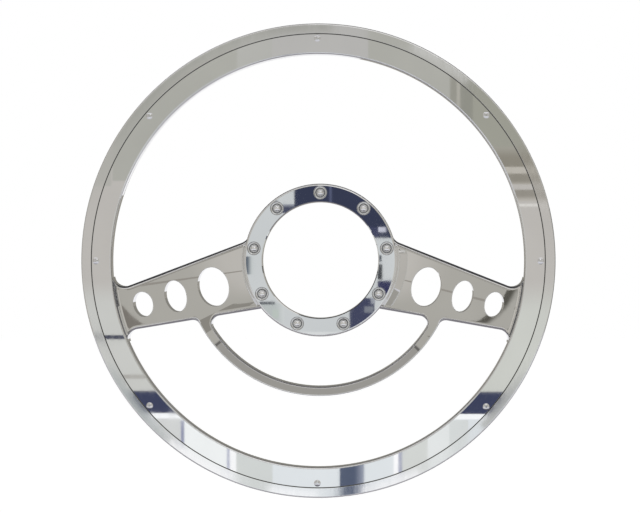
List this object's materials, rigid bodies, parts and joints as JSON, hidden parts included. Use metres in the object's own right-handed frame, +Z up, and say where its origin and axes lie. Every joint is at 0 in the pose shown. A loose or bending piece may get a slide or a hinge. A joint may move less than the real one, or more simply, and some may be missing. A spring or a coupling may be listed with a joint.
{
  "type": "steering wheel",
  "caption": "Dished two-spoke steering wheel in polished aluminium, with a flat-faced rim, a bored hub and a half ring below the hub.",
  "frame": {"origin": "on the axle, in the plane of the hub's back face", "axes": "+Y along the axle, from the driver to the steering column; +Z up, in the plane of the wheel, with the half ring below the hub; +X to the driver's right"},
  "size_m": [0.3556, 0.0965, 0.3556],
  "materials": {
    "polished_aluminium": "polished",
    "polished_rim": "polished",
    "stud_steel": "polished",
    "screw_steel": "polished"
  },
  "bodies": {
    "root": {"wheel_body": "polished_aluminium", "grip_ring": "polished_rim", "hub_stud_1": "stud_steel", "hub_stud_2": "stud_steel", "hub_stud_3": "stud_steel", "hub_stud_4": "stud_steel", "hub_stud_5": "stud_steel", "hub_stud_6": "stud_steel", "hub_stud_7": "stud_steel", "hub_stud_8": "stud_steel", "hub_stud_9": "stud_steel", "rim_screw_1": "screw_steel", "rim_screw_2": "screw_steel", "rim_screw_3": "screw_steel", "rim_screw_4": "screw_steel", "rim_screw_5": "screw_steel", "rim_screw_6": "screw_steel", "rim_screw_7": "screw_steel", "rim_screw_8": "screw_steel"}
  },
  "joints": []
}
